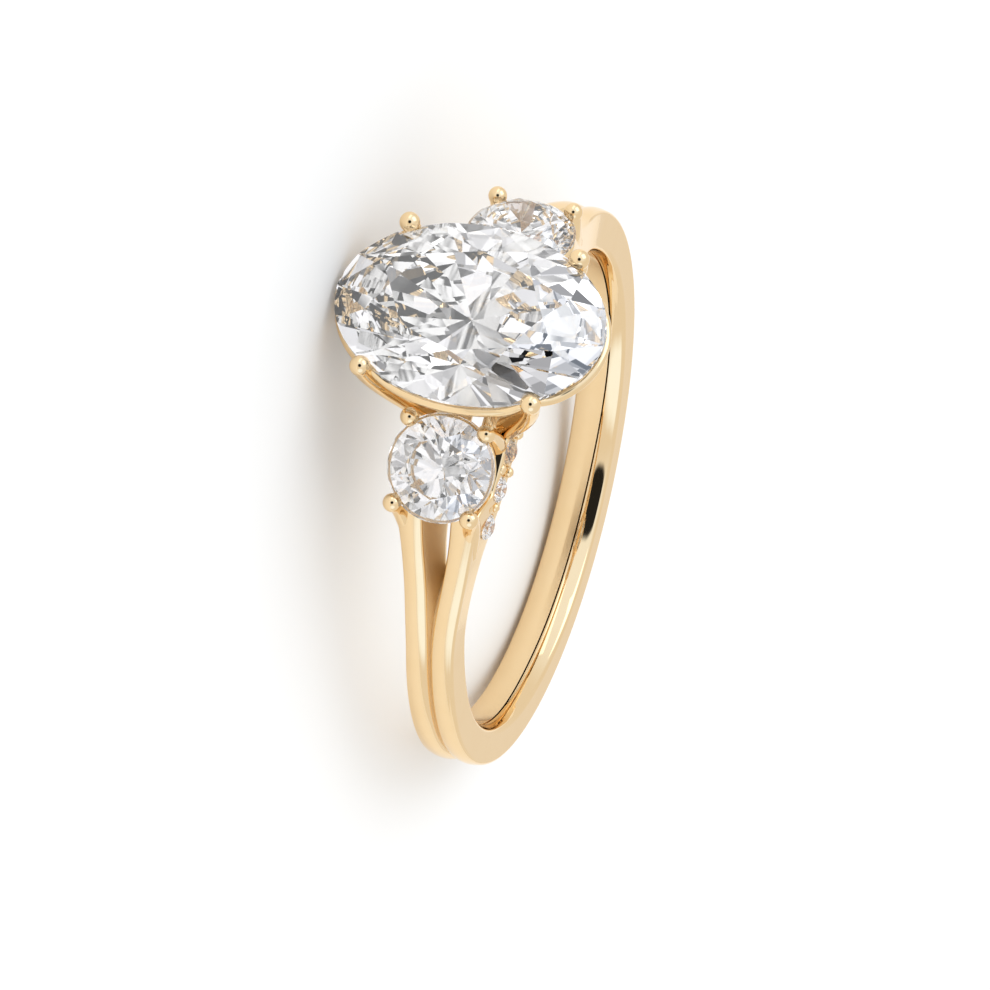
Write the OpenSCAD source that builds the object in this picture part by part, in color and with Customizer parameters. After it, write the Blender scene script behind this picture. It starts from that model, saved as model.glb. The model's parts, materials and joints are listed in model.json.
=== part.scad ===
// Three stone ring: split shank, oval centre stone, two round side stones and accent rows.
// Modelled standing (X finger axis, Z up through the head), then laid down on its side.

/* [Shank] */
// Diameter of the finger hole, in mm
finger_hole_d = 17.3; // [16:0.1:19]
// Radial thickness of the shank at the bottom
shank_t_bottom = 1.36; // [1.2:0.02:1.6]
// Radial thickness of the shank under the head
shank_t_top = 1.68; // [1.5:0.02:1.8]
// Width of one strand over most of the shank
strand_w = 0.82; // [0.78:0.01:0.86]
// Width of one strand under the head
strand_w_top = 1; // [0.9:0.02:1.1]
// Distance of a strand's centre line from the middle of the ring at the bottom
strand_x_bottom = 0.46; // [0.44:0.01:0.48]
// Distance of a strand's centre line from the middle of the ring under the head
strand_x_top = 1.12; // [1.05:0.01:1.2]
// Height of the rounded crown of each strand
strand_crown = 0.12; // [0.06:0.01:0.16]
// Width of the slit that the split leaves in the finger hole's wall
slit_w = 0.4; // [0.3:0.02:0.5]
// Rise of each strand toward the lower claw of a side stone
shoulder_rise = 1.2; // [1:0.05:1.3]
// Width of the softened inner edge of the finger hole
edge_soft = 0.3; // [0.2:0.02:0.34]

/* [Centre stone] */
// Length of the oval stone
oval_l = 9.56; // [9:0.02:10]
// Width of the oval stone
oval_w = 6.71; // [6.4:0.02:7]
// Height of the oval's girdle over the finger hole's wall
oval_rise = 5.14; // [5:0.02:5.5]

/* [Side stones] */
// Diameter of a round side stone
side_d = 3.78; // [3.6:0.02:3.9]
// Distance of a side stone's girdle centre over the finger hole's wall
side_rise = 3.35; // [3.3:0.02:3.6]
// Angle round the finger from the ring's top to a side stone
side_angle = 22.55; // [22:0.05:23.5]
// Lean of a side stone's table from level
side_lean = 28.1; // [26:0.1:30]

/* [Accent stones] */
// Diameter of an accent stone
accent_d = 0.92; // [0.86:0.02:0.98]
// Angle round the finger from the ring's top to the first accent stone
accent_first = 16.2; // [15.6:0.1:16.8]
// Angle from one accent stone to the next
accent_step = 8; // [7.6:0.1:8.4]

/* [Claws and wires] */
// Radius of a centre claw's ball tip
claw_r = 0.36; // [0.32:0.01:0.4]
// Radius of a side claw's ball tip
side_claw_r = 0.33; // [0.3:0.01:0.36]
// Radius of the gallery wire under the oval
wire_r = 0.2; // [0.17:0.01:0.24]
// How far the gallery wire stands out past the oval's girdle
wire_out = 0.08; // [0.04:0.01:0.12]
// Radius of the round wire under a side stone
side_wire_r = 0.14; // [0.12:0.01:0.16]
// Clearance between a stone and the metal
stone_gap = 0.03; // [0.02:0.01:0.05]

/* [Hidden] */
$fn = 64;

bore_r = finger_hole_d / 2;
half_w = strand_w / 2;
// How far a strand's section goes on inside the finger hole, where the exact bore cuts it off.
bore_under = 0.3;
soft_share = 0.3;
// Angles round the finger are counted from the bottom of the shank.
split_start = 116;
split_end = 162;
widen_start = 140;
widen_end = 154;
slit_start = 131;
slit_full = 146;
groove_overlap = 0.7;
groove_start = 124;
groove_end = 137;
shoulder_start = 130;
shoulder_peak = 150;
shoulder_end = 155;
coarse_step = 6;
fine_step = 2.5;
// The sweep's stations over one half of the ring, closer together over the shoulder.
half_turn = concat([for (p = [6:coarse_step:126]) p],
    [for (p = [shoulder_start:fine_step:157.5]) p],
    [for (p = [162:coarse_step:174]) p]);
turns = concat([0], half_turn, [180],
    [for (i = [len(half_turn) - 1:-1:0]) 360 - half_turn[i]]);
crown_cuts = 6;

// Stone proportions, as shares of a stone's radius or width.
table_share = 0.57;
star_share = 0.5;
half_share = 0.24;
girdle_share = 0.03;
crown_share = 0.15;
pavilion_share = 0.43;
girdle_cuts = 64;

oval_z = bore_r + oval_rise;
oval_a = oval_l / 2;
oval_b = oval_w / 2;
side_r = side_d / 2;
side_y = (bore_r + side_rise) * sin(side_angle);
side_z = (bore_r + side_rise) * cos(side_angle);
accent_r = accent_d / 2;
accent_mid_share = 0.62;
accent_mid_r = bore_r + accent_mid_share * shank_t_top;
accent_tilts = [14, 8, 8];
bead_share = 0.42;
bead_spread_share = 0.63;
bead_r = bead_share * accent_r;
bead_spread = bead_spread_share * accent_r;

// The gallery wire follows the oval below its girdle.
wire_a = oval_a + wire_out - wire_r;
wire_b = oval_b + wire_out - wire_r;
wire_drop = 0.6;
wire_lift = 0.34;
wire_bell = 9;
claw_turn = 52.6;
claw_share = 1.05;
claw_x = oval_a * cos(claw_turn) * claw_share;
claw_y = oval_b * sin(claw_turn) * claw_share;
claw_rise = 0.18;
claw_z = oval_z + claw_rise;
centre_foot_out = 0.12;
centre_foot_y = 2.05;
centre_foot_lift = 0.9;
centre_foot = [strand_x_top + centre_foot_out, centre_foot_y, bore_r + centre_foot_lift];
centre_hip_in = [0.06, 0.08];
// How far a side claw's tip lies in from the corner of the square round its stone's girdle.
side_claw_in = [0.51, 0.39];
side_claw_x = side_r - side_claw_in[0];
side_claw_y = side_r - side_claw_in[1];
side_tip_z = 0.22;
side_hip_z = -0.45;
side_hip_in = 0.02;
upper_foot_turn = 163.5;
lower_foot_turn = 142;
upper_foot_lift = 0.9;
lower_foot_lift = 1.35;
side_foot_out = 0.08;
side_wire_drop = 0.3;
side_wire_in = 0.02;
// A claw's radii as shares of its ball tip's radius.
foot_share = 1.15;
hip_share = 0.94;
neck_share = 0.84;

// The tie across the two strands, and the seat under an accent stone.
tie_w = 1.1;
tie_t = 0.8;
tie_lift = 0.45;
seat_wall = 0.55;
seat_step = 0.04;
seat_depth = 0.5;
seat_floor_r = 0.12;

// The ring rests on the shank's lower outer edge and on the end of the gallery wire.
rest_edge_x = strand_x_bottom + half_w;
rest_edge_r = bore_r + shank_t_bottom - strand_crown;
rest_wire_x = wire_a;
rest_wire_z = oval_z - wire_drop;
rest_run = rest_wire_z + rest_edge_r;
rest_rise = rest_wire_x - rest_edge_x;
rest_tilt = atan2(rest_rise, rest_run) + asin(wire_r / norm([rest_run, rest_rise]));
floor_shift = rest_edge_x * cos(rest_tilt) + rest_edge_r * sin(rest_tilt);
head_reach = (oval_z + oval_w * (crown_share + girdle_share / 2)) * cos(rest_tilt)
    + oval_a * table_share * sin(rest_tilt);
foot_reach = (bore_r + shank_t_bottom) * cos(rest_tilt) + strand_x_bottom * sin(rest_tilt);
middle_shift = (head_reach - foot_reach) / 2;

function fold(p) = 180 - abs(180 - p);
function smooth(t) = let (u = min(1, max(0, t))) u * u * (3 - 2 * u);
function strand_x(p) = strand_x_bottom
    + (strand_x_top - strand_x_bottom) * smooth((fold(p) - split_start) / (split_end - split_start));
function half_width(p) = half_w
    + (strand_w_top - strand_w) / 2 * smooth((fold(p) - widen_start) / (widen_end - widen_start));
// Where a strand's sloped inner wall would meet the finger hole. Below zero the two strands
// overlap under a groove, which gets deeper toward the head until it is open as a slit.
function slit_x(p) = slit_w / 2 * smooth((fold(p) - slit_start) / (slit_full - slit_start))
    - groove_overlap * (1 - smooth((fold(p) - groove_start) / (groove_end - groove_start)));
function shoulder(p) = shoulder_rise
    * pow(min(1, max(0, (fold(p) - shoulder_start) / (shoulder_peak - shoulder_start))), 2)
    * (1 - smooth((fold(p) - shoulder_peak) / (shoulder_end - shoulder_peak)));
function outer_r(p) = bore_r + shank_t_bottom + (shank_t_top - shank_t_bottom) * (1 - cos(p)) / 2
    + shoulder(p);
function round_finger(x, r, p) = [x, -r * sin(p), -r * cos(p)];

// One section of a strand: the crown, the sloped inner wall, and the softened outer edge.
function strand_section(p) = let (
        c = strand_x(p),
        o = outer_r(p),
        h = half_width(p))
    concat(
        [for (i = [0:crown_cuts]) let (u = 1 - 2 * i / crown_cuts)
            round_finger(c + h * u, o - strand_crown * u * u, p)],
        [round_finger(slit_x(p), bore_r - bore_under, p)],
        [round_finger(c + h - edge_soft, bore_r - bore_under, p)],
        [round_finger(c + h - soft_share * edge_soft, bore_r + soft_share * edge_soft, p)],
        [round_finger(c + h, bore_r + edge_soft, p)]);

// A closed loop of sections, skinned with triangles.
module loop_skin(rings) {
    n = len(rings);
    m = len(rings[0]);
    pts = [for (ring = rings) each ring];
    tris = [for (i = [0:n - 1], j = [0:m - 1])
        let (a = i * m + j, b = i * m + (j + 1) % m,
            c = ((i + 1) % n) * m + j, d = ((i + 1) % n) * m + (j + 1) % m)
        each [[a, b, d], [a, d, c]]];
    polyhedron(points = pts, faces = tris, convexity = 8);
}

module strand() {
    loop_skin([for (p = turns) strand_section(p)]);
}

// A tapered rod between two points, with a ball on its second end that is a little wider than it.
module rod(a, b, ra, rb, ball) {
    v = b - a;
    l = norm(v);
    translate(a)
        rotate([0, acos(v[2] / l), atan2(v[1], v[0])])
        cylinder(h = l, r1 = ra, r2 = rb);
    translate(b)
        sphere(r = ball);
}

// The wire under the oval, swooping up to each claw.
function wire_point(t, a) = let (
        k = min([for (q = [claw_turn, 180 - claw_turn, 180 + claw_turn, 360 - claw_turn])
            min(abs(t - q), 360 - abs(t - q))]),
        lift = wire_lift * exp(-pow(k / wire_bell, 2)),
        cx = wire_a * cos(t),
        cy = wire_b * sin(t),
        nx = wire_b * cos(t),
        ny = wire_a * sin(t),
        nl = norm([nx, ny]))
    [cx + wire_r * cos(a) * nx / nl, cy + wire_r * cos(a) * ny / nl,
        oval_z - wire_drop + lift + wire_r * sin(a)];

module gallery_wire() {
    loop_skin([for (t = [0:6:354]) [for (a = [0:45:315]) wire_point(t, a)]]);
}

module centre_claw() {
    tip = [claw_x, claw_y, claw_z];
    hip = [claw_x - centre_hip_in[0], claw_y - centre_hip_in[1], oval_z - wire_drop];
    rod(hip, tip, neck_share * claw_r, neck_share * claw_r, claw_r);
    rod(centre_foot, hip, foot_share * claw_r, neck_share * claw_r, hip_share * claw_r);
}

module centre_basket() {
    gallery_wire();
    for (sx = [0, 1], sy = [0, 1])
        mirror([sx, 0, 0])
        mirror([0, sy, 0])
        centre_claw();
}

// Places something in the front side stone's own frame: origin at the girdle's centre, Z its axis.
module at_side(back = 0) {
    mirror([0, back, 0])
        translate([0, -side_y, side_z])
        rotate([side_lean, 0, 0])
        children();
}

// A claw's tip in the stone's frame turned into the ring's frame.
function from_side(p) = [p[0],
    -side_y + p[1] * cos(side_lean) - p[2] * sin(side_lean),
    side_z + p[1] * sin(side_lean) + p[2] * cos(side_lean)];

module side_claw(up) {
    tip = from_side([side_claw_x, up * side_claw_y, side_tip_z]);
    hip = from_side([side_claw_x - side_hip_in, up * (side_claw_y - side_hip_in), side_hip_z]);
    turn = up > 0 ? upper_foot_turn : lower_foot_turn;
    lift = up > 0 ? upper_foot_lift : lower_foot_lift;
    foot = round_finger(strand_x(turn) + side_foot_out, bore_r + lift, turn);
    rod(hip, tip, neck_share * side_claw_r, neck_share * side_claw_r, side_claw_r);
    rod(foot, hip, foot_share * side_claw_r, neck_share * side_claw_r, hip_share * side_claw_r);
}

module side_basket(back = 0) {
    at_side(back)
        translate([0, 0, -side_wire_drop])
        rotate_extrude()
        translate([side_r - side_wire_r - side_wire_in, 0])
        circle(r = side_wire_r, $fn = 24);
    for (sx = [0, 1], up = [-1, 1])
        mirror([sx, 0, 0])
        mirror([0, back, 0])
        side_claw(up);
}

// A plain tie across the two strands under the centre stone.
module cross_tie() {
    translate([-strand_x_top, -tie_w / 2, bore_r + tie_lift])
        cube([2 * strand_x_top, tie_w, tie_t]);
}

// Corners of a brilliant of unit girdle radius, with heights crown, girdle and pavilion.
function plane_z(a, b, c, x, y) = let (n = cross(b - a, c - a))
    a[2] - (n[0] * (x - a[0]) + n[1] * (y - a[1])) / n[2];
function unit_at(r, t, z) = [r * cos(t), r * sin(t), z];

// One brilliant: half lengths a and b, crown height hc, pavilion depth hp, girdle height hg.
module brilliant(a, b, hc, hp, hg, n = girdle_cuts) {
    eighth = n / 8;
    star_r = table_share * cos(22.5) * (1 - star_share) + star_share;
    star_z = hg / 2 + hc * (1 - star_r * cos(22.5)) / (1 - table_share);
    low_z = -hg / 2 - hp * (1 - half_share * cos(22.5));
    star = unit_at(star_r, 22.5, star_z);
    low = unit_at(half_share, 22.5, low_z);
    top_g = unit_at(1, 0, hg / 2);
    top_m = unit_at(1, 22.5, hg / 2);
    bot_g = unit_at(1, 0, -hg / 2);
    bot_m = unit_at(1, 22.5, -hg / 2);
    // angle inside one facet's span, folded about the middle of each eighth
    function folded(j) = let (t = (j % eighth) * 360 / n) t > 22.5 ? 45 - t : t;
    up = [for (j = [0:n - 1]) let (t = folded(j)) unit_at(1, j * 360 / n,
        plane_z(star, top_g, top_m, cos(t), sin(t)))];
    down = [for (j = [0:n - 1]) let (t = folded(j)) unit_at(1, j * 360 / n,
        plane_z(low, bot_g, bot_m, cos(t), sin(t)))];
    table = [for (k = [0:7]) unit_at(table_share, 45 * k, hg / 2 + hc)];
    stars = [for (k = [0:7]) unit_at(star_r, 45 * k + 22.5, star_z)];
    lows = [for (k = [0:7]) unit_at(half_share, 45 * k + 22.5, low_z)];
    pts = concat(up, down, table, stars, lows, [[0, 0, -hg / 2 - hp]]);
    ti = 2 * n;
    si = 2 * n + 8;
    li = 2 * n + 16;
    ci = 2 * n + 24;
    half = eighth / 2;
    faces = concat(
        [[for (k = [0:7]) ti + 7 - k]],
        [for (k = [0:7]) [ti + k, ti + (k + 1) % 8, si + k]],
        [for (k = [0:7]) [ti + k, si + k, k * eighth, si + (k + 7) % 8]],
        [for (k = [0:7]) concat([si + k], [for (j = [half:-1:0]) k * eighth + j])],
        [for (k = [0:7]) concat([si + k], [for (j = [eighth:-1:half]) (k * eighth + j) % n])],
        [for (j = [0:n - 1]) [j, (j + 1) % n, n + (j + 1) % n, n + j]],
        [for (k = [0:7]) [ci, li + (k + 7) % 8, n + k * eighth, li + k]],
        [for (k = [0:7]) concat([li + k], [for (j = [0:half]) n + k * eighth + j])],
        [for (k = [0:7]) concat([li + k], [for (j = [half:eighth]) n + (k * eighth + j) % n])]);
    polyhedron(points = [for (q = pts) [q[0] * a, q[1] * b, q[2]]], faces = faces, convexity = 2);
}

module centre_cut(gap) {
    translate([0, 0, oval_z])
        brilliant(oval_a + gap, oval_b + gap, oval_w * crown_share + gap,
            oval_w * pavilion_share + gap, oval_w * girdle_share + 2 * gap);
}

module side_cut(gap) {
    brilliant(side_r + gap, side_r + gap, side_d * crown_share + gap,
        side_d * pavilion_share + gap, side_d * girdle_share + 2 * gap);
}

// The accent stones: number 0 to 11, three to a row, rows front right, front left, back right, back left.
module at_accent(number) {
    row = floor(number / 3);
    turn = 180 - accent_first - (number % 3) * accent_step;
    x = strand_x(turn) + half_width(turn);
    mirror([row % 2, 0, 0])
        mirror([0, row > 1 ? 1 : 0, 0])
        translate(round_finger(x, accent_mid_r, turn))
        rotate([-turn, 0, 0])
        rotate([0, 90 + accent_tilts[number % 3], 0])
        children();
}

module accent_stone(number) {
    at_accent(number)
        brilliant(accent_r, accent_r, accent_d * crown_share, accent_d * pavilion_share,
            2 * accent_d * girdle_share, 16);
}

module accent_seat() {
    translate([0, 0, -seat_step - 0.01])
        cylinder(h = seat_wall, r = accent_r + stone_gap);
    translate([0, 0, -seat_depth])
        cylinder(h = seat_depth - seat_step, r1 = seat_floor_r, r2 = accent_r + stone_gap);
}

// Small beads of metal in pairs between the stones of a row and at its two ends.
module accent_beads(row) {
    half_step = accent_mid_r * sin(accent_step / 2);
    for (i = [-1:2], side = [-1, 1])
        at_accent(3 * row + max(0, i))
        translate([side * bead_spread, i < 0 ? half_step : -half_step, 0])
        sphere(r = bead_r, $fn = 20);
}

module mount_ring() {
    difference() {
        union() {
            strand();
            mirror([1, 0, 0])
                strand();
            cross_tie();
            centre_basket();
            side_basket(0);
            side_basket(1);
            for (row = [0:3])
                accent_beads(row);
        }
        rotate([0, 90, 0])
            cylinder(h = 4 * strand_x_top, r = bore_r, center = true);
        centre_cut(stone_gap);
        at_side(0)
            side_cut(stone_gap);
        at_side(1)
            side_cut(stone_gap);
        for (i = [0:11])
            at_accent(i)
            accent_seat();
    }
}

// Lays the standing ring down on its side, head toward -Y.
module lying() {
    translate([0, middle_shift, floor_shift])
        rotate([0, 0, 90])
        rotate([0, rest_tilt - 90, 0])
        children();
}

module gold_mount() {
    color([0.9, 0.75, 0.45])
        lying()
        mount_ring();
}

module centre_stone() {
    color([0.9, 0.95, 1])
        lying()
        centre_cut(0);
}

module side_stone(back) {
    color([0.9, 0.95, 1])
        lying()
        at_side(back)
        side_cut(0);
}

module accent(number) {
    color([0.9, 0.95, 1])
        lying()
        accent_stone(number);
}

gold_mount();
centre_stone();
side_stone(0);  // side_stone_front
side_stone(1);  // side_stone_back
accent(0);  // accent_stone_1
accent(1);  // accent_stone_2
accent(2);  // accent_stone_3
accent(3);  // accent_stone_4
accent(4);  // accent_stone_5
accent(5);  // accent_stone_6
accent(6);  // accent_stone_7
accent(7);  // accent_stone_8
accent(8);  // accent_stone_9
accent(9);  // accent_stone_10
accent(10);  // accent_stone_11
accent(11);  // accent_stone_12
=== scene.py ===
import json
import math

import bpy
import numpy as np
from mathutils import Matrix, Vector


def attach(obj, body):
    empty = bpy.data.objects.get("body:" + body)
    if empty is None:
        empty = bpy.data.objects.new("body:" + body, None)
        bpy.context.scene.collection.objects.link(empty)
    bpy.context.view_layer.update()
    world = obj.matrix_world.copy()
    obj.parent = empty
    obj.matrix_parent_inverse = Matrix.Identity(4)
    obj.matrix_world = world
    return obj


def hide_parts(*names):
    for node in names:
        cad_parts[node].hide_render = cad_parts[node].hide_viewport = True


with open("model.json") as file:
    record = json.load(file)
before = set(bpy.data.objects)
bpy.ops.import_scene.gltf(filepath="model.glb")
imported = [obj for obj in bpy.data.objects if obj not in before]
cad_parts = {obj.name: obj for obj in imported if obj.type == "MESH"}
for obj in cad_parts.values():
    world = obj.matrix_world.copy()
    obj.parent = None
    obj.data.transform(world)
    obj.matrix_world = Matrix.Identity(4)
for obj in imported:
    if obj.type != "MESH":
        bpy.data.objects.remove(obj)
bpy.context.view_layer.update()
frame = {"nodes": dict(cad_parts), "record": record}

# A three stone ring that lies on its side. Its gold is drawn here in finer meshes than the
# CAD's, and its stones are the CAD's own.

# The finger hole's mount tells where the ring's middle lies and how far the ring leans, as a
# sine and a cosine. TO_ROW turns the ring's axes to those of the row.
hole = next(m for m in frame["record"]["mounts"] if m["name"] == "finger_hole")
hole_axis = np.array(hole["axis"], float)
hole_axis /= np.linalg.norm(hole_axis)
LEAN_S, LEAN_C = hole_axis[1], hole_axis[2]
TO_ROW = np.array([[0, -1, 0], [LEAN_S, 0, -LEAN_C], [LEAN_C, 0, LEAN_S]], float)
ROW_MID = np.array(hole["pos_m"], float)

# Sizes in millimetres, in the frame of the ring as it is worn upright:
# X is the finger axis, Y runs across the head, Z goes up through the stones.
# Turns are degrees round the finger from the shank's foot, apart from EDGE_TURN, which is how
# far the round of the hole's edge goes.
HOLE_R = hole["dims"]["r_mm"]
SHANK_T_FOOT = 1.36
SHANK_T_HEAD = 1.68
STRAND_HALF = 0.41
STRAND_HALF_HEAD = 0.5
STRAND_X_FOOT = 0.46
STRAND_X_HEAD = 1.12
SPLIT_TURNS = (116, 162)
WIDEN_TURNS = (140, 154)
CROWN = 0.12
OUTER_CORNER = 0.13
INNER_CORNER = 0.05
EDGE_ROUND = 0.2
EDGE_TURN = 68
COMFORT_START = -0.16
COMFORT_SLOPE = 0.12
COMFORT_R = 1.6
SLIT_HALF = 0.2
SLIT_TURNS = (131, 146)
GROOVE_OVERLAP = 0.7
GROOVE_TURNS = (124, 137)
SEAM_X = (0.19, 0.35)
SEAM_TURNS = (20, 70)
SEAM_HALF = 0.03
SEAM_DEPTH = 0.2
SEAM_STEP = ((0.6, 0.3), (0.3, 1.0))
SHOULDER_RISE = 1.2
SHOULDER_TURNS = (130, 150, 155)

# How finely a strand is cut: stations round the finger, columns of the crown and of the hole's
# edge, turns on the outer corner, and shares of the way along the outer side, the hole's wall
# and the inner side.
STATIONS = 360
CROWN_COLUMNS = 15
EDGE_COLUMNS = 9
CORNER_TURNS = (70, 50, 30, 12, 0)
OUTER_SHARES = (0.1, 0.4, 0.7, 0.95)
WALL_SHARES = (0.12, 0.3, 0.5, 0.7, 0.88, 1.0)
INNER_SHARES = (0.2, 0.4, 0.6, 0.8)

# Girdles: the oval's half axes and height, and a side stone's radius, its distance from the
# hole's middle, its place round the finger from the top, and the lean of its axis.
OVAL_A = 4.78
OVAL_B = 3.355
OVAL_Z = HOLE_R + 5.14
SIDE_R = 1.89
SIDE_DIST = HOLE_R + 3.35
SIDE_ANGLE = math.radians(22.55)
SIDE_LEAN = math.radians(28.1)
SIDE_Y = SIDE_DIST * math.sin(SIDE_ANGLE)
SIDE_Z = SIDE_DIST * math.cos(SIDE_ANGLE)

# Accent rows: a stone's radius, the first one's turn from the ring's top and the step to the
# next, the share of the shank's thickness at which they lie, and how far each tilts outward.
# A seat is STONE_GAP wider than its stone, and beads stand between the stones.
ACCENT_R = 0.46
ACCENT_FIRST = 16.2
ACCENT_STEP = 8.0
ACCENT_ROWS = 4
ACCENTS_IN_ROW = 3
ACCENT_MID_SHARE = 0.62
ACCENT_MID_R = HOLE_R + ACCENT_MID_SHARE * SHANK_T_HEAD
ACCENT_TILTS = (14, 8, 8)
STONE_GAP = 0.03
SEAT_R = ACCENT_R + STONE_GAP
SEAT_FLOOR_R = 0.1
SEAT_MID_R = 0.3
SEAT_DEPTH = 0.5
SEAT_STEP = 0.04
SEAT_OVER = 0.3
BEAD_R = 0.42 * ACCENT_R
BEAD_SPREAD = 0.63 * ACCENT_R

# The tie under the oval: half its width and thickness, the lift of its middle above the hole's
# wall, and the power that makes its section nearly square.
TIE_HALF_W = 0.55
TIE_HALF_T = 0.38
TIE_LIFT = 0.85
TIE_SQUARENESS = 0.35

# Every claw: its neck and foot as shares of its ball's radius, and how fast it tapers.
NECK_SHARE = 0.85
FOOT_SHARE = 1.15
TAPER = 1.6

# Centre claws, CLAW_TURN degrees round the oval from its long axis and a little outside its
# girdle, and the gallery wire below the girdle, which rises in a bell at each claw.
CLAW_R = 0.36
CLAW_TURN = 52.6
CLAW_SHARE = 1.05
CLAW_RISE = 0.18
CLAW_HIP_IN = 0.02
CLAW_HIP_DROP = 1.0
CLAW_FOOT_OUT = 0.12
CLAW_FOOT_Y = 2.05
CLAW_FOOT_LIFT = 0.9
WIRE_R = 0.2
WIRE_OUT = 0.08
WIRE_DROP = 0.6
WIRE_LIFT = 0.34
WIRE_BELL = 9

# A side stone's claws and wire, in the stone's own frame: Z is its axis, 0 its girdle.
SIDE_CLAW_R = 0.33
SIDE_CLAW_X = 1.38
SIDE_CLAW_Y = 1.5
SIDE_TIP_Z = 0.22
SIDE_HIP_IN = 0.01
SIDE_HIP_Z = -0.7
SIDE_FOOT_OUT = 0.08
UPPER_FOOT_TURN = 163.5
UPPER_FOOT_LIFT = 0.9
LOWER_FOOT_TURN = 142
LOWER_FOOT_LIFT = 1.35
SIDE_WIRE_R = 0.14
SIDE_WIRE_IN = 0.02
SIDE_WIRE_DROP = 0.3

# Sizes of the patterns in the materials, in millimetres, and of the stage, in metres.
HAZE_MM = 1.111
# The table's cards are a painted reflection: only rays from inside a stone see them.
STONE_REFLECTION_CARD_MM = 3.846
FLOOR_HALF_M = 2

# Levels of the noise between which a dark card turns white, for the tent and for the cards painted on the
# table as a reflection in the stones.
CARD_EDGES = (0.38, 0.55)

# How finely claws and beads are cut: the radians from its pole at which a ball is closed, and
# the length left free between a claw's tube and its ball. Past SHARP_DEG an edge stays sharp.
CLAW_STEPS = 30
BALL_STEPS = 16
BALL_POLE = 0.02
BEAD_POLE = 0.12
NECK_GAP = 0.02
SHARP_DEG = 40

# Reflections in a stone past which its light is let out straight on.
STONE_REFLECTIONS = 3


def to_row(p):
    """Ring points in mm to row points in metres: turned onto the side, scaled, then moved."""
    return np.asarray(p, float) @ TO_ROW.T * 0.001 + ROW_MID


# Meshes
def grid_faces(n, m, wrap_rows):
    """Quads of a grid of n rings with m points each, as an array of four indices."""
    i = np.arange(n if wrap_rows else n - 1)[:, None]
    j = np.arange(m)[None, :]
    i2, j2 = (i + 1) % n, (j + 1) % m
    return np.stack([i * m + j, i * m + j2, i2 * m + j2, i2 * m + j], -1).reshape(-1, 4)


def skin(grid, wrap_rows=False, close_ends=False):
    """Points and faces of one surface: a grid of closed rings, with a fan of triangles to a
    middle point at both ends if close_ends is set."""
    n, m = grid.shape[:2]
    points = grid.reshape(-1, 3)
    faces = grid_faces(n, m, wrap_rows).tolist()
    if close_ends:
        first, last = grid[0].mean(0), grid[-1].mean(0)
        j = np.arange(m)
        k = (j + 1) % m
        a = np.stack([np.full(m, n * m), k, j], -1)
        b = np.stack([np.full(m, n * m + 1), (n - 1) * m + j, (n - 1) * m + k], -1)
        points = np.vstack([points, first, last])
        faces += a.tolist() + b.tolist()
    return points, faces


def piece(name, skins, material):
    """One object from several closed skins, each turned outwards by the sign of its volume."""
    points, faces, base = [], [], 0
    for p, f in skins:
        tri = [(q[0], q[k], q[k + 1]) for q in f for k in range(1, len(q) - 1)]
        t = p[np.array(tri)]
        volume = np.einsum("ij,ij->i", t[:, 0], np.cross(t[:, 1], t[:, 2])).sum()
        faces += [[base + i for i in (q if volume > 0 else q[::-1])] for q in f]
        points.append(p)
        base += len(p)
    mesh = bpy.data.meshes.new(name)
    mesh.from_pydata(to_row(np.vstack(points)).tolist(), [], faces)
    mesh.update()
    mesh.polygons.foreach_set("use_smooth", np.ones(len(mesh.polygons), bool))
    mesh.set_sharp_from_angle(angle=math.radians(SHARP_DEG))
    mesh.materials.append(material)
    obj = bpy.data.objects.new(name, mesh)
    bpy.context.scene.collection.objects.link(obj)
    return obj


def smooth(t):
    """Rises from 0 to 1 with level ends: three t squared less two t cubed."""
    t = np.clip(t, 0, 1)
    return t * t * (3 - 2 * t)


def rise(turn, turns):
    """0 before the first turn, 1 past the second, smooth between; the same on both sides."""
    folded = 180 - np.abs(180 - np.asarray(turn, float))
    return smooth((folded - turns[0]) / (turns[1] - turns[0]))


def round_finger(x, r, turn):
    """A point at x along the finger axis and r from it, turn degrees from the shank's foot."""
    x, r, t = np.broadcast_arrays(x, r, np.radians(turn))
    return np.stack([x, -r * np.sin(t), -r * np.cos(t)], -1)


def strand_x(turn):
    """Distance of a strand's centre line from the ring's middle plane."""
    return STRAND_X_FOOT + (STRAND_X_HEAD - STRAND_X_FOOT) * rise(turn, SPLIT_TURNS)


def half_width(turn):
    """Half the width of a strand, which grows under the head."""
    return STRAND_HALF + (STRAND_HALF_HEAD - STRAND_HALF) * rise(turn, WIDEN_TURNS)


def outer_r(turn):
    """Outer radius of the shank: a thickness that grows with one less the cosine of the turn,
    and the shoulder, which rises with the square of the turn toward the side claw and falls
    smoothly behind it."""
    folded = 180 - np.abs(180 - np.asarray(turn, float))
    start, peak, end = SHOULDER_TURNS
    shoulder = np.clip((folded - start) / (peak - start), 0, 1) ** 2
    shoulder = shoulder * (1 - smooth((folded - peak) / (end - peak)))
    thickness = SHANK_T_FOOT + (SHANK_T_HEAD - SHANK_T_FOOT) * (1 - np.cos(np.radians(turn))) / 2
    return HOLE_R + thickness + SHOULDER_RISE * shoulder


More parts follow.
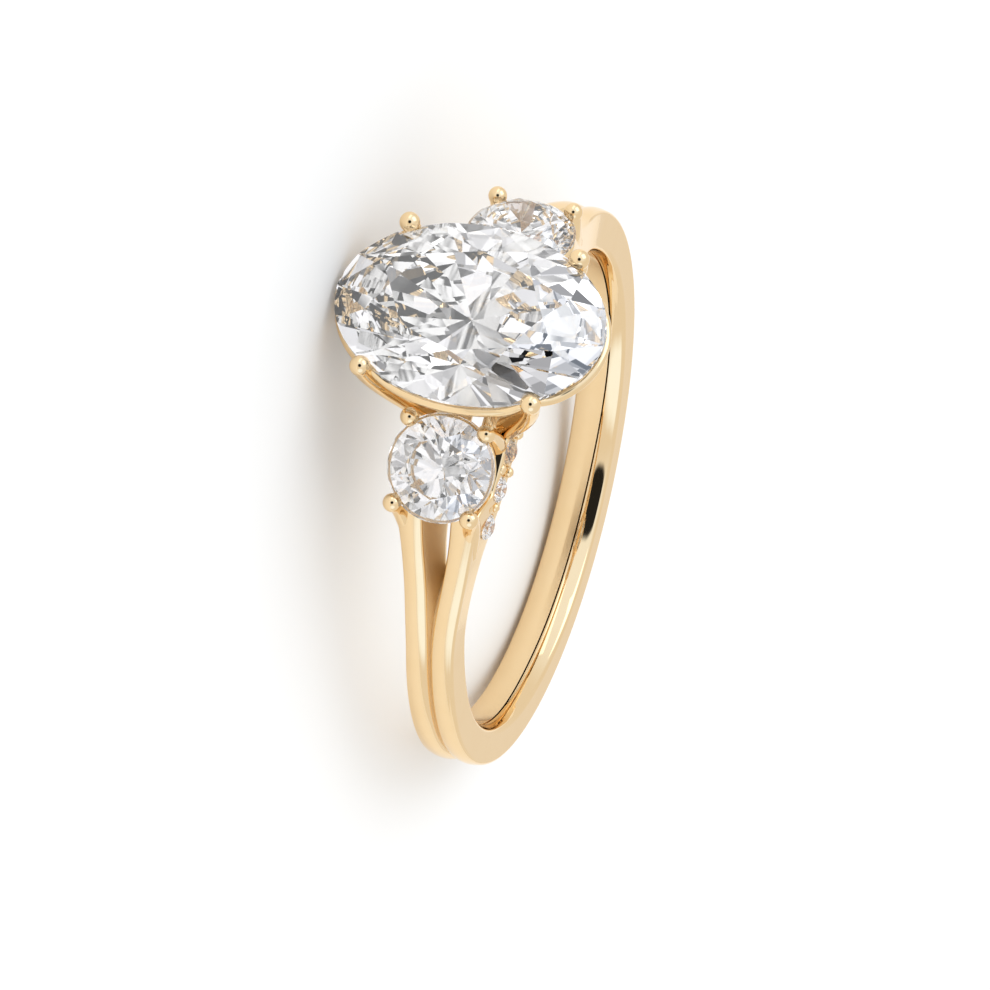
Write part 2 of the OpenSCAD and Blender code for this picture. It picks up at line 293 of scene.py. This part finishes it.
def strand(side):
    """One strand, swept round the finger. Its section is a parabola for the crown, a round
    corner, the straight outer side, a round at the hole's edge, the hole's wall up to the seam
    or the slit, a rounded step into the seam, and the inner side, which leans toward the other
    strand: the two meet in a groove that gets deeper toward the head until it is open."""
    turn = np.linspace(0, 360, STATIONS, endpoint=False)
    c, h, top = strand_x(turn), half_width(turn), outer_r(turn)
    seam = side * (SEAM_X[0] + (SEAM_X[1] - SEAM_X[0]) * rise(turn, SEAM_TURNS))
    split = rise(turn, SLIT_TURNS)
    lean = SLIT_HALF * split - GROOVE_OVERLAP * (1 - rise(turn, GROOVE_TURNS))
    foot = np.maximum(lean, seam * (1 - rise(turn, GROOVE_TURNS)))

    def wall_r(x):
        """Radius of the hole's wall, which eases outward toward the rim for comfort."""
        past = np.maximum(x - c - COMFORT_START, 0)
        return HOLE_R + COMFORT_SLOPE * past + past ** 2 / (2 * COMFORT_R)

    rows = []
    for t in np.linspace(0, 1, CROWN_COLUMNS):
        x = -h + INNER_CORNER + t * (2 * h - INNER_CORNER - OUTER_CORNER)
        rows.append((c + x, top - CROWN * (x / h) ** 2))
    corner_r = rows[-1][1] - OUTER_CORNER
    for t in np.radians(CORNER_TURNS):
        rows.append((c + h - OUTER_CORNER * (1 - math.cos(t)), corner_r + OUTER_CORNER * math.sin(t)))
    wall = c + h - EDGE_ROUND
    low_r = wall_r(wall) + EDGE_ROUND
    for t in OUTER_SHARES:
        rows.append((c + h, corner_r + (low_r - corner_r) * t))
    for t in np.linspace(0, math.radians(EDGE_TURN), EDGE_COLUMNS):
        x = wall + EDGE_ROUND * math.cos(t)
        rows.append((x, low_r - EDGE_ROUND * math.sin(t) + 0 * c))
    for t in WALL_SHARES:
        x = wall + (foot + SEAM_HALF - wall) * t
        rows.append((x, wall_r(x)))
    for across, deep in SEAM_STEP:
        rows.append((foot + across * SEAM_HALF, HOLE_R + deep * SEAM_DEPTH + 0 * c))
    high = top - CROWN - INNER_CORNER
    for t in INNER_SHARES:
        rows.append((lean + (c - h - lean) * t, HOLE_R + (high - HOLE_R) * t))
    rows.append((c - h, high))
    grid = np.stack([round_finger(x, r, turn) for x, r in rows], 1)
    grid[..., 0] *= side
    return skin(grid, wrap_rows=True)


def tube(path, radius, sides=20):
    """A round tube with closed ends: at each point of the path a circle square to it, turned
    the same way all along by a direction that no claw follows."""
    path = np.asarray(path, float)
    along = np.gradient(path, axis=0)
    along /= np.linalg.norm(along, axis=1)[:, None]
    no_claws_way = (0.31, 0.93, 0.2)
    u = np.cross(along, no_claws_way)
    u /= np.linalg.norm(u, axis=1)[:, None]
    v = np.cross(along, u)
    a = np.linspace(0, 2 * math.pi, sides, endpoint=False)
    ring = u[:, None] * np.cos(a)[None, :, None] + v[:, None] * np.sin(a)[None, :, None]
    return skin(path[:, None] + ring * np.asarray(radius)[:, None, None], close_ends=True)


def claw(foot, hip, tip, ball_r):
    """A claw: a tapered tube on a curve from foot to tip (a quadratic Bezier curve that leans
    toward the hip), and past its neck a ball whose section follows a circle."""
    foot, hip, tip = (np.asarray(p, float) for p in (foot, hip, tip))
    neck_r, foot_r = NECK_SHARE * ball_r, FOOT_SHARE * ball_r
    t = np.linspace(0, 1, CLAW_STEPS)[:, None]
    path = (1 - t) ** 2 * foot + 2 * t * (1 - t) * hip + t ** 2 * tip
    rad = neck_r + (foot_r - neck_r) * (1 - t[:, 0]) ** TAPER
    end = (path[-1] - path[-2]) / np.linalg.norm(path[-1] - path[-2])
    start = math.pi - math.asin(neck_r / ball_r)
    a = np.linspace(start, BALL_POLE, BALL_STEPS)
    keep = np.linalg.norm(path - tip, axis=1) > -ball_r * math.cos(start) + NECK_GAP
    path = np.vstack([path[keep], tip + end * (ball_r * np.cos(a))[:, None]])
    return tube(path, np.concatenate([rad[keep], ball_r * np.sin(a)]))


def mirrored(sk, x=False, y=False):
    """The same skin on the other side of the ring's middle planes."""
    p = sk[0].copy()
    p[:, 0] *= -1 if x else 1
    p[:, 1] *= -1 if y else 1
    return p, sk[1]


def four_ways(sk):
    """A skin and its three mirror images."""
    return [mirrored(sk, x, y) for x in (False, True) for y in (False, True)]


def ball(centre, r, rows=9, cols=14):
    """A sphere: r times sine and cosine of height and turn, closed at both poles."""
    a = np.linspace(BEAD_POLE, math.pi - BEAD_POLE, rows)[:, None]
    b = np.linspace(0, 2 * math.pi, cols, endpoint=False)[None, :]
    grid = np.stack([np.sin(a) * np.cos(b), np.sin(a) * np.sin(b), np.cos(a) + 0 * b], -1) * r
    return skin(grid + np.asarray(centre), close_ends=True)


# Materials
def linear(hex_colour):
    """An sRGB hex colour as linear red, green, blue and an alpha of 1, by the sRGB standard's
    curve: a straight line near black and a power above it."""
    v = np.array([int(hex_colour[i:i + 2], 16) for i in (1, 3, 5)]) / 255.0
    v = np.where(v <= 0.04045, v / 12.92, ((v + 0.055) / 1.055) ** 2.4)
    return (*v.tolist(), 1.0)


def add(tree, kind, settings=None, links=None):
    """Adds one node. settings gives attributes and input values, links gives inputs to other
    nodes' outputs."""
    node = tree.nodes.new(kind)
    for key, value in (settings or {}).items():
        if isinstance(key, str) and hasattr(node, key) and key not in node.inputs:
            setattr(node, key, value)
        else:
            node.inputs[key].default_value = value
    for key, source in (links or {}).items():
        tree.links.new(source, node.inputs[key])
    return node


def new_material(name):
    """An empty material with its node tree."""
    m = bpy.data.materials.new(name)
    m.use_nodes = True
    m.node_tree.nodes.clear()
    return m, m.node_tree


def polished_yellow_gold():
    """Polished 14 carat yellow gold: a pale warm metal, nearly a mirror, with the faint haze
    that a buffing wheel leaves. The haze is drawn much coarser than it is, so that it shows."""
    m, t = new_material("polished_yellow_gold")
    place = add(t, "ShaderNodeTexCoord")
    haze = add(t, "ShaderNodeTexNoise", {"Scale": 1000 / HAZE_MM, "Detail": 3.0},
               {"Vector": place.outputs["Object"]})
    rough = add(t, "ShaderNodeMapRange", {"To Min": 0.04, "To Max": 0.07}, {"Value": haze.outputs["Fac"]})
    tint = add(t, "ShaderNodeMix", {"data_type": "RGBA", 6: linear("#EFD0A0"), 7: linear("#F2D6AA")},
               {0: haze.outputs["Fac"]})
    shader = add(t, "ShaderNodeBsdfPrincipled", {"Metallic": 1.0, "Specular Tint": linear("#FFF8EC")},
                 {"Base Color": tint.outputs[2], "Roughness": rough.outputs["Result"]})
    add(t, "ShaderNodeOutputMaterial", None, {"Surface": shader.outputs[0]})
    return m


def satin_yellow_gold():
    """The same gold between the strands, where a buffing wheel can't reach: a satin surface
    that spreads its highlights and looks browner."""
    m, t = new_material("satin_yellow_gold")
    shader = add(t, "ShaderNodeBsdfPrincipled", {
        "Metallic": 1.0, "Base Color": linear("#F3DBB2"), "Roughness": 0.6})
    add(t, "ShaderNodeOutputMaterial", None, {"Surface": shader.outputs[0]})
    return m


def cut_diamond():
    """Cut diamond: clear, with flat polished facets and very strong refraction. Past its third
    reflection the facets let the light out straight on, because the renderer soon ends a path."""
    m, t = new_material("cut_diamond")
    path = add(t, "ShaderNodeLightPath")
    inside = add(t, "ShaderNodeMath", {"operation": "LESS_THAN", 1: STONE_REFLECTIONS + 0.5},
                 {0: path.outputs["Glossy Depth"]})
    shader = add(t, "ShaderNodeBsdfPrincipled", {
        "Base Color": linear("#FFFEFC"), "Roughness": 0.0, "IOR": 2.417, "Transmission Weight": 1.0},
        {"Alpha": inside.outputs["Value"]})
    add(t, "ShaderNodeOutputMaterial", None, {"Surface": shader.outputs[0]})
    return m


def plain_table_top():
    """Matt white painted board, the plain pale surface that the ring lies on. Seen from inside a stone it
    has black cards painted on it, a painted reflection that breaks up into the grey patches of the facets;
    all other rays see the plain white."""
    m, t = new_material("matt_white_board")
    place = add(t, "ShaderNodeTexCoord")
    ray = add(t, "ShaderNodeLightPath")
    cards = add(t, "ShaderNodeTexNoise", {
        "Scale": 1000 / STONE_REFLECTION_CARD_MM, "Detail": 2.0, "Roughness": 0.6}, {"Vector": place.outputs["Object"]})
    card = add(t, "ShaderNodeMapRange", {
        "From Min": CARD_EDGES[0], "From Max": CARD_EDGES[1], "To Min": 0.0, "To Max": 1.0},
        {"Value": cards.outputs["Fac"]})
    # Black cards on white, painted on the board for rays from inside a stone only: a painted reflection that
    # gives the facets their dark patches.
    stone_reflection_cards = add(t, "ShaderNodeMix", {"data_type": "RGBA", 6: linear("#000000"), 7: linear("#E8E8E8")},
               {0: card.outputs["Result"]})
    in_stone = add(t, "ShaderNodeMath", {"operation": "GREATER_THAN", 1: 0.5},
                   {0: ray.outputs["Transmission Depth"]})
    colour = add(t, "ShaderNodeMix", {"data_type": "RGBA", 6: linear("#F4F4F3")},
                 {0: in_stone.outputs["Value"], 7: stone_reflection_cards.outputs[2]})
    shader = add(t, "ShaderNodeBsdfPrincipled", {"Roughness": 0.8}, {"Base Color": colour.outputs[2]})
    add(t, "ShaderNodeOutputMaterial", None, {"Surface": shader.outputs[0]})
    return m


gold = polished_yellow_gold()
satin_gold = satin_yellow_gold()
diamond = cut_diamond()
board = plain_table_top()


# Shank with the seats of the accent stones
def accent_frame(row, number):
    """Origin and axes (round the finger, outward from it, out of the stone) of a place in an
    accent row. Rows 0 to 3 are front right, front left, back right, back left."""
    turn = 180 - ACCENT_FIRST - number * ACCENT_STEP
    t, tilt = math.radians(turn), math.radians(ACCENT_TILTS[number])
    origin = round_finger(strand_x(turn) + half_width(turn), ACCENT_MID_R, turn)
    radial = np.array([0, -math.sin(t), -math.cos(t)])
    side = np.array([1.0, 0, 0])
    along = np.cross(side, radial)
    outward = radial * math.cos(tilt) - side * math.sin(tilt)
    axis = side * math.cos(tilt) + radial * math.sin(tilt)
    flip = np.array([-1 if row % 2 else 1, -1 if row > 1 else 1, 1.0])
    return [v * flip for v in (origin, along, outward, axis)]


def turned(profile, origin, u, v, axis, sides=28):
    """A profile of (radius, height) pairs turned round an axis."""
    a = np.linspace(0, 2 * math.pi, sides, endpoint=False)
    ring = u * np.cos(a)[:, None] + v * np.sin(a)[:, None]
    return skin(np.stack([origin + r * ring + h * axis for r, h in profile]), close_ends=True)


def cross_tie(stations=9, sides=24):
    """A plain bar across the two strands under the centre stone: a rounded box section
    carried straight along X."""
    a = np.linspace(0, 2 * math.pi, sides, endpoint=False)
    y = TIE_HALF_W * np.sign(np.cos(a)) * np.abs(np.cos(a)) ** TIE_SQUARENESS
    z = HOLE_R + TIE_LIFT + TIE_HALF_T * np.sign(np.sin(a)) * np.abs(np.sin(a)) ** TIE_SQUARENESS
    x = np.linspace(-STRAND_X_HEAD, STRAND_X_HEAD, stations)
    grid = np.stack(np.broadcast_arrays(x[:, None], y[None], z[None]), -1)
    return skin(grid, close_ends=True)


strands = [strand(1), strand(-1)]
shank = piece("split_shank", strands + [cross_tie()], gold)
shank.data.materials.append(satin_gold)

# The strands' inner sides, from the seam's floor up, are satin. They are the last columns.
around = len(strands[0][0]) // STATIONS
column = np.arange(len(shank.data.polygons)) % around
is_strand = np.arange(len(column)) < 2 * STATIONS * around
inner_side = is_strand & (column >= around - len(INNER_SHARES) - 2) & (column < around - 1)
shank.data.polygons.foreach_set("material_index", inner_side.astype(np.int32))

# The accent stones' seats are cut out of the shank.
seat_profile = [(SEAT_FLOOR_R, -SEAT_DEPTH), (SEAT_MID_R, -SEAT_DEPTH / 2), (SEAT_R, -SEAT_STEP),
                (SEAT_R, SEAT_OVER)]
places = [accent_frame(row, k) for row in range(ACCENT_ROWS) for k in range(ACCENTS_IN_ROW)]
cutter = piece("seat_cutter", [turned(seat_profile, *place) for place in places], gold)
cut = shank.modifiers.new("seats", "BOOLEAN")
cut.operation = "DIFFERENCE"
cut.solver = "EXACT"
cut.use_self = True
cut.object = cutter
bpy.context.view_layer.update()
cut_mesh = bpy.data.meshes.new_from_object(shank.evaluated_get(bpy.context.evaluated_depsgraph_get()))
shank.modifiers.clear()
shank.data = cut_mesh
cut_mesh.name = "split_shank"
cut_mesh.set_sharp_from_angle(angle=math.radians(SHARP_DEG))
bpy.data.objects.remove(cutter)

# Beads of metal raised in pairs between the accent stones.
beads = []
bead_half = ACCENT_MID_R * math.sin(math.radians(ACCENT_STEP / 2))
for row in range(ACCENT_ROWS):
    for k in range(-1, ACCENTS_IN_ROW):
        origin, along, outward, axis = accent_frame(row, max(0, k))
        middle = origin + along * (bead_half if k < 0 else -bead_half)
        beads += [ball(middle + outward * s * BEAD_SPREAD, BEAD_R) for s in (-1, 1)]
bead_piece = piece("accent_beads", beads, gold)


# Centre basket
def gallery_wire(stations=240, sides=20):
    """The wire under the oval: an ellipse that follows the girdle, lifted toward each claw by
    a bell curve of the angle, with a round section square to the ellipse."""
    t = np.linspace(0, 360, stations, endpoint=False)
    k = np.min([np.minimum(abs(t - q), 360 - abs(t - q)) for q in
                (CLAW_TURN, 180 - CLAW_TURN, 180 + CLAW_TURN, 360 - CLAW_TURN)], axis=0)
    lift = WIRE_LIFT * np.exp(-(k / WIRE_BELL) ** 2)
    a, b = OVAL_A + WIRE_OUT - WIRE_R, OVAL_B + WIRE_OUT - WIRE_R
    ct, st = np.cos(np.radians(t)), np.sin(np.radians(t))
    normal = np.stack([b * ct, a * st, 0 * t], -1)
    normal /= np.linalg.norm(normal, axis=1)[:, None]
    middle = np.stack([a * ct, b * st, OVAL_Z - WIRE_DROP + lift], -1)
    s = np.linspace(0, 2 * math.pi, sides, endpoint=False)[None, :, None]
    grid = middle[:, None] + WIRE_R * (normal[:, None] * np.cos(s) + np.array([0, 0, 1.0]) * np.sin(s))
    return skin(grid, wrap_rows=True)


claw_x = OVAL_A * math.cos(math.radians(CLAW_TURN)) * CLAW_SHARE
claw_y = OVAL_B * math.sin(math.radians(CLAW_TURN)) * CLAW_SHARE
claw_foot = [STRAND_X_HEAD + CLAW_FOOT_OUT, CLAW_FOOT_Y, HOLE_R + CLAW_FOOT_LIFT]
claw_hip = [claw_x - CLAW_HIP_IN, claw_y - CLAW_HIP_IN, OVAL_Z - CLAW_HIP_DROP]
centre_claw = claw(claw_foot, claw_hip, [claw_x, claw_y, OVAL_Z + CLAW_RISE], CLAW_R)
basket = piece("centre_basket", [gallery_wire()] + four_ways(centre_claw), gold)


# Side baskets
def from_side(p):
    """A point in the front side stone's frame, in the ring's frame."""
    c, s = math.cos(SIDE_LEAN), math.sin(SIDE_LEAN)
    p = np.asarray(p, float)
    return np.stack([p[..., 0], -SIDE_Y + p[..., 1] * c - p[..., 2] * s,
                     SIDE_Z + p[..., 1] * s + p[..., 2] * c], -1)


def side_wire(stations=96, sides=16):
    """The round wire under a side stone: a torus."""
    t = np.linspace(0, 2 * math.pi, stations, endpoint=False)[:, None]
    a = np.linspace(0, 2 * math.pi, sides, endpoint=False)[None, :]
    r = SIDE_R - SIDE_WIRE_IN - SIDE_WIRE_R + SIDE_WIRE_R * np.cos(a)
    z = -SIDE_WIRE_DROP + SIDE_WIRE_R * np.sin(a) + 0 * t
    grid = np.stack([r * np.cos(t), r * np.sin(t), z], -1)
    return skin(from_side(grid), wrap_rows=True)


def side_claw(up, turn, lift):
    """The front stone's right claw, above it (up is 1) or below (up is -1), from a foot on the
    strand."""
    foot = round_finger(strand_x(turn) + SIDE_FOOT_OUT, HOLE_R + lift, turn)
    hip = from_side([SIDE_CLAW_X - SIDE_HIP_IN, up * (SIDE_CLAW_Y - SIDE_HIP_IN), SIDE_HIP_Z])
    return claw(foot, hip, from_side([SIDE_CLAW_X, up * SIDE_CLAW_Y, SIDE_TIP_Z]), SIDE_CLAW_R)


side_claws = [side_claw(1, UPPER_FOOT_TURN, UPPER_FOOT_LIFT),
              side_claw(-1, LOWER_FOOT_TURN, LOWER_FOOT_LIFT)]
side_parts = [side_wire()] + side_claws + [mirrored(p, x=True) for p in side_claws]
front_basket = piece("side_basket_front", side_parts, gold)
back_basket = piece("side_basket_back", [mirrored(p, y=True) for p in side_parts], gold)

for obj in (shank, bead_piece, basket, front_basket, back_basket):
    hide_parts("gold_mount")
    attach(obj, "root")

for name, obj in frame["nodes"].items():
    if "stone" in name:
        obj.data.materials.clear()
        obj.data.materials.append(diamond)

# Floor, light and camera
floor_mesh = bpy.data.meshes.new("table_top")
corners = [(x * FLOOR_HALF_M, y * FLOOR_HALF_M, 0) for x, y in ((-1, -1), (1, -1), (1, 1), (-1, 1))]
floor_mesh.from_pydata(corners, [], [(0, 1, 2, 3)])
floor_mesh.materials.append(board)
floor = bpy.data.objects.new("table_top", floor_mesh)
bpy.context.scene.collection.objects.link(floor)

# The camera is placed in the ring's frame: rows of VIEW point right, up and toward it, EYE is
# its place in mm, and FOCUS_PX its focal length in pixels of a picture FRAME_PX wide.
VIEW = np.array([[0.9449, 0.2981, -0.1355], [-0.2184, 0.882, 0.4177], [0.244, -0.3651, 0.8984]])
EYE = np.array([60.1, -91.88, 224.6])
FOCUS_PX = 7012.8
FRAME_PX = 990
SENSOR_MM = 36.0

scene = bpy.context.scene
camera_data = bpy.data.cameras.new("camera")
camera_data.sensor_width = SENSOR_MM
camera_data.lens = FOCUS_PX / FRAME_PX * SENSOR_MM
camera_data.clip_start = 0.01
camera_data.clip_end = 20
camera = bpy.data.objects.new("camera", camera_data)
scene.collection.objects.link(camera)
axes = (VIEW @ TO_ROW.T).T

# The nearest pure turn takes the rounding out of VIEW.
u, _, vt = np.linalg.svd(axes)
axes = u @ vt
eye = to_row(EYE)
camera.matrix_world = Matrix([[*axes[i], eye[i]] for i in range(3)] + [[0, 0, 0, 1]])
scene.camera = camera

# The metal sees one light tent: bright and even, with two brighter sides and a dark place where
# the camera stands. What the stones send out meets another: white with dark cards between,
# which break up into the small grey patches of their facets. The camera and the table see a
# plain white. A lobe is a direction in the row's frame, the cosines between which the level
# changes, and the levels before and past them. CARD_SCALE is about the number of cards to a
# radian.
TENT_GREY = (0.9, 0.9, 0.9, 1.0)
TENT_BRIGHT = (1.15, 1.36, 1.7, 1.0)
RIGHT_LOBE = ((0.92, -0.02, 0.4), 0.87, 0.97, 0.0, 1.0)
HEAD_LOBE = ((-0.3, -0.75, 0.6), 0.4, 0.95, 0.0, 0.6)
CARD_BLACK = (0.012, 0.012, 0.014, 1.0)
CARD_WHITE = (1.05, 1.05, 1.09, 1.0)
CARD_SCALE = 3.6
DARK_PLACE = (0.94, 0.965, 1.0, 0.02)
DARK_PLACE_IN_STONES = (0.985, 0.992, 1.0, 0.05)
PLAIN_WHITE = (1.1, 1.1, 1.1, 1.0)
SOFT_BOX_WATTS = 0.2

world = bpy.data.worlds.new("light_tent")
scene.world = world
world.use_nodes = True
tent_tree = world.node_tree
tent_tree.nodes.clear()
direction = add(tent_tree, "ShaderNodeTexCoord")
ray = add(tent_tree, "ShaderNodeLightPath")


def lobe(toward, start, end, low, high):
    """A level that goes from low to high where the direction comes within the given cosines
    of one that is stated in the row's frame."""
    toward = Vector(toward).normalized()
    dot = add(tent_tree, "ShaderNodeVectorMath", {"operation": "DOT_PRODUCT", 1: tuple(toward)},
              {0: direction.outputs["Generated"]})
    level = add(tent_tree, "ShaderNodeMapRange", {
        "interpolation_type": "SMOOTHSTEP", "From Min": start, "From Max": end,
        "To Min": low, "To Max": high}, {"Value": dot.outputs["Value"]})
    return level.outputs["Result"]


toward_camera = tuple(axes[:, 2])
bright_sides = add(tent_tree, "ShaderNodeMath", {"operation": "ADD"},
                   {0: lobe(*RIGHT_LOBE), 1: lobe(*HEAD_LOBE)})
metal_tent = add(tent_tree, "ShaderNodeMix", {"data_type": "RGBA", 6: TENT_GREY, 7: TENT_BRIGHT},
                 {0: bright_sides.outputs["Value"]})
metal_tent = add(tent_tree, "ShaderNodeVectorMath", {"operation": "SCALE"},
                 {0: metal_tent.outputs[2], "Scale": lobe(toward_camera, *DARK_PLACE)})
cards = add(tent_tree, "ShaderNodeTexNoise", {"Scale": CARD_SCALE, "Detail": 2.0, "Roughness": 0.6},
            {"Vector": direction.outputs["Generated"]})
card_level = add(tent_tree, "ShaderNodeMapRange", {
    "From Min": CARD_EDGES[0], "From Max": CARD_EDGES[1], "To Min": 0.0, "To Max": 1.0},
    {"Value": cards.outputs["Fac"]})
stone_tent = add(tent_tree, "ShaderNodeMix", {"data_type": "RGBA", 6: CARD_BLACK, 7: CARD_WHITE},
                 {0: card_level.outputs["Result"]})
stone_tent = add(tent_tree, "ShaderNodeVectorMath", {"operation": "SCALE"},
                 {0: stone_tent.outputs[2], "Scale": lobe(toward_camera, *DARK_PLACE_IN_STONES)})
from_stone = add(tent_tree, "ShaderNodeMath", {"operation": "GREATER_THAN", 1: 0.5},
                 {0: ray.outputs["Transmission Depth"]})
seen = add(tent_tree, "ShaderNodeMix", {"data_type": "RGBA"},
           {0: from_stone.outputs["Value"], 6: metal_tent.outputs[0], 7: stone_tent.outputs[0]})
plain = add(tent_tree, "ShaderNodeMath", {"operation": "MAXIMUM"},
            {0: ray.outputs["Is Camera Ray"], 1: ray.outputs["Is Diffuse Ray"]})
seen = add(tent_tree, "ShaderNodeMix", {"data_type": "RGBA", 7: PLAIN_WHITE},
           {0: plain.outputs["Value"], 6: seen.outputs[2]})
background = add(tent_tree, "ShaderNodeBackground", {"Strength": 1.0}, {"Color": seen.outputs[2]})
add(tent_tree, "ShaderNodeOutputWorld", None, {"Surface": background.outputs[0]})


def soft_box(name, place_mm, size_m, watts):
    """A square area light that looks at the ring from a place given in the camera's own
    directions: right, up and toward the camera, in mm from the ring's middle."""
    data = bpy.data.lights.new(name, "AREA")
    data.size = size_m
    data.energy = watts
    obj = bpy.data.objects.new(name, data)
    scene.collection.objects.link(obj)
    place = ROW_MID + axes @ (np.array(place_mm) * 0.001)
    obj.location = place
    obj.rotation_euler = Vector(ROW_MID - place).to_track_quat("-Z", "Y").to_euler()


soft_box("soft_box_right", (260, 180, 160), 0.25, SOFT_BOX_WATTS)
soft_box("soft_box_top", (-60, 320, 120), 0.3, SOFT_BOX_WATTS)

scene.view_settings.view_transform = "Standard"
scene.view_settings.look = "None"

bpy.context.view_layer.update()
